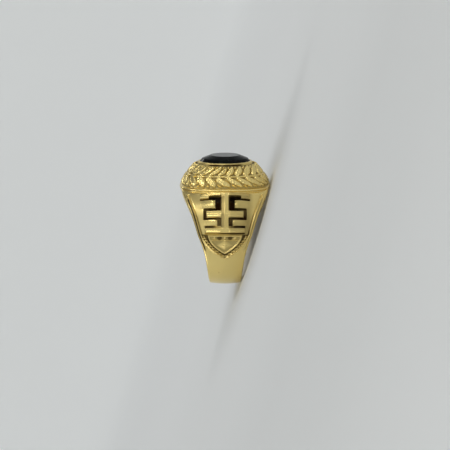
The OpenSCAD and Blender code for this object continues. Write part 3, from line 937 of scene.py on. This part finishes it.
class Value:
    """A socket of a node, so that shader maths reads as an expression."""

    def __init__(self, finish, socket):
        self.finish, self.socket = finish, socket

    __add__ = __radd__ = maths("ADD")
    __sub__, __rsub__ = maths("SUBTRACT"), maths("SUBTRACT", swapped=True)
    __mul__ = __rmul__ = maths("MULTIPLY")
    __pow__, __rpow__ = maths("POWER"), maths("POWER", swapped=True)


class Node:
    """A made node, whose outputs are read by name or number."""

    def __init__(self, finish, node):
        self.finish, self.made = finish, node

    def __getitem__(self, name):
        return Value(self.finish, self.made.outputs[name])


class Finish:
    """A material and the nodes that make it."""

    def __init__(self, name):
        self.material = bpy.data.materials.new(name)
        self.material.use_nodes = True
        self.tree = self.material.node_tree
        self.tree.nodes.clear()

    def node(self, kind, settings=None, sockets=None):
        """A node of this type: first its settings, then its sockets' values or links."""
        made = self.tree.nodes.new(kind)
        for name, value in (settings or {}).items():
            if name == "stops":
                self.set_stops(made.color_ramp.elements, value)
            else:
                setattr(made, name, value)
        for name, value in (sockets or {}).items():
            if isinstance(value, Value):
                self.tree.links.new(value.socket, made.inputs[name])
            else:
                made.inputs[name].default_value = value
        return Node(self, made)

    def set_stops(self, elements, stops):
        """Gives a ramp, which starts with two stops, these places and colours."""
        for number, (place, tint) in enumerate(stops):
            stop = elements[number] if number < 2 else elements.new(place)
            stop.position, stop.color = place, tint

    def mix(self, share, first, second):
        """A colour between two others."""
        sockets = {"Factor": share, MIX_A: first, MIX_B: second}
        return self.node("ShaderNodeMix", {"data_type": "RGBA"}, sockets)[MIX_RESULT]

    def noise(self, scale, detail=3.0, roughness=0.55, stretch=(1, 1, 1)):
        """Noise in the object's own space, this many grains a metre."""
        place = self.node("ShaderNodeTexCoord")["Object"]
        place = self.node("ShaderNodeMapping", None, {"Vector": place, "Scale": stretch})["Vector"]
        return self.node("ShaderNodeTexNoise", None, {
            "Vector": place, "Scale": scale, "Detail": detail, "Roughness": roughness})["Fac"]

    def bumps(self, height, strength, distance):
        """The normal of a surface with this height, which is felt over this distance."""
        return self.node("ShaderNodeBump", None, {
            "Strength": strength, "Distance": distance, "Height": height})["Normal"]

    def surface(self, sockets):
        """Ends the material in one shader."""
        shader = self.node("ShaderNodeBsdfPrincipled", None, sockets)
        self.node("ShaderNodeOutputMaterial", None, {"Surface": shader["BSDF"]})
        return self.material


def colour(value, change=(1, 1, 1)):
    """A colour for a socket, with each of its channels times a number."""
    return (*(c * k for c, k in zip(value, change)), 1.0)


def worn_gold_painted_shade(colours):
    """Polished gold, darkened towards a dark colour for patina in its recesses and for painted shade,
    with faint tarnish and fine scratches.
    """
    finish = Finish("worn_gold_painted_shade")
    shade_and_patina = finish.node("ShaderNodeAttribute", {"attribute_name": "shade_and_patina"})["Fac"]
    tarnish = finish.noise(260, detail=4)
    grain = finish.noise(5200, detail=2)
    # Share of the dark colour: patina and painted shade, uneven with the tarnish
    darkening = (shade_and_patina ** 1.3) * (0.6 + 0.6 * tarnish)
    pale = finish.mix(tarnish, colour(colours.gold), colour(colours.gold, (1.03, 0.97, 0.86)))
    scratches = finish.noise(1500, detail=5, roughness=0.7, stretch=(1, 9, 1))
    waviness = finish.noise(420, detail=2)
    height = grain * (0.2 + 1.2 * shade_and_patina) + scratches * (0.4 + 3.0 * shade_and_patina) + 1.6 * waviness
    return finish.surface({
        "Base Color": finish.mix(darkening, pale, colour(colours.patina_and_shade_colour)),
        "Metallic": 1.0,
        "Roughness": 0.2 + 0.12 * tarnish + 0.25 * shade_and_patina,
        "Normal": finish.bumps(height, strength=0.35, distance=0.00002),
    })


def polished_onyx(colours):
    """Black onyx: near black, glossy, with a barely uneven polish."""
    finish = Finish("polished_onyx")
    cloud = finish.noise(180, detail=3)
    return finish.surface({
        "Base Color": finish.mix(cloud, colour(colours.onyx), colour(colours.onyx, (1.8, 1.8, 1.8))),
        "Roughness": 0.07 + 0.05 * cloud,
        "IOR": 1.5,
        "Specular IOR Level": 0.1,
        "Normal": finish.bumps(finish.noise(900, detail=2), strength=0.05, distance=0.00001),
    })


def pale_paper(colours):
    """The matt floor and wall, with a glow that evens out the light on them."""
    finish = Finish("pale_paper")
    shade = colour(colours.floor, (0.985, 0.985, 0.985))
    base = finish.mix(finish.noise(9, detail=2), colour(colours.floor), shade)
    place = finish.node("ShaderNodeNewGeometry")["Position"]
    behind = finish.node("ShaderNodeSeparateXYZ", None, {"Vector": place})["Y"]
    # The ramp's 0 to 1 stand for 1 metre in front of the ring to 1 metre behind it
    stops = [(0.5 + metres / 2, colour((k, k, k), GLOW_TINT)) for metres, k in GLOW_ROWS]
    glow = finish.node("ShaderNodeValToRGB", {"stops": stops}, {"Fac": 0.5 + 0.5 * behind})["Color"]
    away = finish.node("ShaderNodeVectorMath", {"operation": "LENGTH"}, {0: place})["Value"]
    strength = finish.node("ShaderNodeMapRange", {"interpolation_type": "SMOOTHSTEP"}, {
        "Value": away, "From Min": GLOW_NEAR, "From Max": GLOW_FAR})["Result"]
    return finish.surface({
        "Base Color": base,
        "Roughness": 0.85,
        "Emission Color": finish.mix(strength, colour((0, 0, 0)), glow),
        "Emission Strength": 1.0,
    })


# Studio

def build_floor(studio, material):
    """A round floor that turns up into a wall all round, so that every side looks the same."""
    profile = [[r, 0.0] for r in np.linspace(FLOOR_HOLE, studio.floor_radius, FLOOR_RINGS)]
    for turn in np.radians(np.linspace(0, 90, BEND_STEPS + 1))[1:]:
        out, up = FLOOR_BEND * math.sin(turn), FLOOR_BEND * (1 - math.cos(turn))
        profile.append([studio.floor_radius + out, up])
    profile.append([studio.floor_radius + FLOOR_BEND, studio.wall_height])
    turns = np.arange(0, 360, FLOOR_TURN)
    points = np.concatenate([oval_ring(turns, (r, r), 2, z) for r, z in profile])
    faces = grid_faces(len(profile), len(turns))[:, ::-1].tolist()
    faces.append(list(range(len(turns)))[::-1])
    mesh = bpy.data.meshes.new("floor")
    mesh.from_pydata(points.tolist(), [], faces)
    mesh.shade_smooth()
    mesh.materials.append(material)
    floor = add_object("floor", mesh)


def build_lights(scene):
    """Soft lights that look at the ring, and a dim even surround."""
    for name, place, size, watts, tint in LIGHT_ROWS:
        lamp = bpy.data.lights.new(name, "AREA")
        lamp.shape, lamp.size, lamp.energy, lamp.color = "DISK", size, watts, tint
        light = add_object(name, lamp)
        light.location = place
        towards = Vector(LIGHTS_AIM) - Vector(place)
        light.rotation_euler = towards.to_track_quat("-Z", "Y").to_euler()
        light.visible_camera = False
    scene.world = bpy.data.worlds.new("surround")
    scene.world.use_nodes = True
    surround = scene.world.node_tree.nodes["Background"]
    surround.inputs["Color"].default_value = colour(SURROUND)
    surround.inputs["Strength"].default_value = SURROUND_STRENGTH


def build_camera(scene, studio):
    """Looks at the shoulder from a little above it, with the ring upright in the picture."""
    shoulder, _, up = ring_axes()
    c, s = math.cos(studio.camera_rise), math.sin(studio.camera_rise)
    back = c * shoulder + s * up
    picture_up = c * up - s * shoulder
    aim = Vector(FINGER_HOLE["pos_m"]) + CAMERA_LIFT * MM * picture_up
    camera = add_object("camera", bpy.data.cameras.new("camera"))
    camera.data.lens = studio.camera_lens
    camera.data.clip_start, camera.data.clip_end = CAMERA_NEAR, CAMERA_FAR
    turn = Matrix((picture_up.cross(back), picture_up, back)).transposed()
    camera.matrix_world = Matrix.Translation(aim + studio.camera_distance * back) @ turn.to_4x4()
    scene.camera = camera


# Operators

class RING_OT_body(bpy.types.Operator):
    """Builds the gold casting: shank, shoulders, head and bezel in one piece"""

    bl_idname = "ring.body"
    bl_label = "Ring body"

    def execute(self, context):
        casting = Casting(context.scene.ring_sizes, context.scene.ring_stone)
        body = casting.shank_solid()
        carve(body, casting.head_solid(), "UNION")
        for side in (1, -1):
            for hand in (1, -1):
                carve(body, casting.window_solid(side, hand), "DIFFERENCE")
        carve(body, casting.seat_solid(), "DIFFERENCE")
        carve(body, casting.bore_solid(), "DIFFERENCE")
        body.name = body.data.name = "gold_casting"
        # Keeps the darkening for the material: patina in the hollows and painted shade
        keep_field(body, "shade_and_patina", casting.darkening)
        settle(body, worn_gold_painted_shade(context.scene.ring_colours), 42, "ring_body", slot="gold")
        return {"FINISHED"}


class RING_OT_stone(bpy.types.Operator):
    """Builds the oval stone with its flat table, two-step crown and pavilion"""

    bl_idname = "ring.stone"
    bl_label = "Stone"

    def execute(self, context):
        sizes = context.scene.ring_stone
        casting = Casting(context.scene.ring_sizes, sizes)
        table = np.array([sizes.table_width, sizes.table_length]) / MM / 2
        table_z = casting.lip_z + sizes.crown_height / MM
        rows = [[width / 2, length / 2, casting.girdle_low + z] for width, length, z in PAVILION_ROWS]
        rows += [[*casting.stone, z] for z in (casting.girdle_low, casting.girdle_top)]
        rows.append([CROWN_BREAK[0] / 2, CROWN_BREAK[1] / 2, table_z - CROWN_BREAK[2]])
        rows += [[*(table * share), table_z] for share in (1, TABLE_FLAT)]
        profile = soften(np.array(rows), STONE_ROUND)
        stone = solid("onyx_stone", [oval_ring(STONE_TURNS, (hx, hy), 2, z) for hx, hy, z in profile])
        settle(stone, polished_onyx(context.scene.ring_colours), 30, "stone", slot="onyx")
        return {"FINISHED"}


class RING_OT_studio(bpy.types.Operator):
    """Builds the floor, the wall, the lights and the camera"""

    bl_idname = "ring.studio"
    bl_label = "Studio"

    def execute(self, context):
        scene, studio = context.scene, context.scene.ring_studio
        build_floor(studio, pale_paper(scene.ring_colours))
        build_lights(scene)
        build_camera(scene, studio)
        scene.view_settings.view_transform = "Standard"
        return {"FINISHED"}


class RING_PT_panel(bpy.types.Panel):
    """Lists the ring's sizes and the operators that build it"""

    bl_label = "Ring"
    bl_idname = "RING_PT_panel"
    bl_space_type = "VIEW_3D"
    bl_region_type = "UI"
    bl_category = "Ring"

    def draw(self, context):
        """Shows a box for each group and a button for each operator."""
        for name in GROUPS:
            group = getattr(context.scene, name)
            box = self.layout.box()
            for key in group.bl_rna.properties.keys():
                if key not in {"rna_type", "name"}:
                    box.prop(group, key)
        for operator in OPERATORS:
            self.layout.operator(operator.bl_idname)


GROUPS = {
    "ring_sizes": RingSizes,
    "ring_stone": StoneSizes,
    "ring_colours": Colours,
    "ring_studio": StudioSizes,
}
OPERATORS = (RING_OT_body, RING_OT_stone, RING_OT_studio)


def register():
    """Adds the groups, the operators and the panel."""
    for group in (*GROUPS.values(), *OPERATORS, RING_PT_panel):
        bpy.utils.register_class(group)
    for name, group in GROUPS.items():
        setattr(bpy.types.Scene, name, bpy.props.PointerProperty(type=group))


def unregister():
    """Takes them out again."""
    for name in GROUPS:
        delattr(bpy.types.Scene, name)
    for group in (RING_PT_panel, *OPERATORS[::-1], *GROUPS.values()):
        bpy.utils.unregister_class(group)


def main():
    """Builds the ring and its studio."""
    register()
    bpy.ops.ring.body()
    bpy.ops.ring.stone()
    bpy.ops.ring.studio()


if __name__ == "__main__":
    main()
